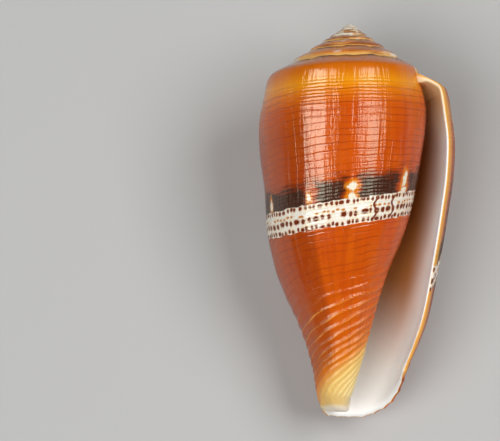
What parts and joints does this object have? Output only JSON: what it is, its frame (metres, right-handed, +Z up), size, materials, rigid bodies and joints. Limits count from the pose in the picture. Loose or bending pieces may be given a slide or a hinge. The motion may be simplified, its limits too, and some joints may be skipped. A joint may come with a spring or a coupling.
{
  "type": "cone shell",
  "caption": "Cone-shaped sea shell with a low stepped spire, a long narrow opening along one side and a ribbed narrow end, lying on its back.",
  "frame": {"origin": "on the resting surface, under the middle of the shell's outline", "axes": "+Y towards the pointed top of the spire, +Z up out of the opening, +X towards the outer lip"},
  "size_m": [0.0322, 0.0632, 0.0299],
  "materials": {
    "orange_shell": "glossy"
  },
  "bodies": {
    "root": {"cone_shell": "orange_shell"}
  },
  "joints": []
}
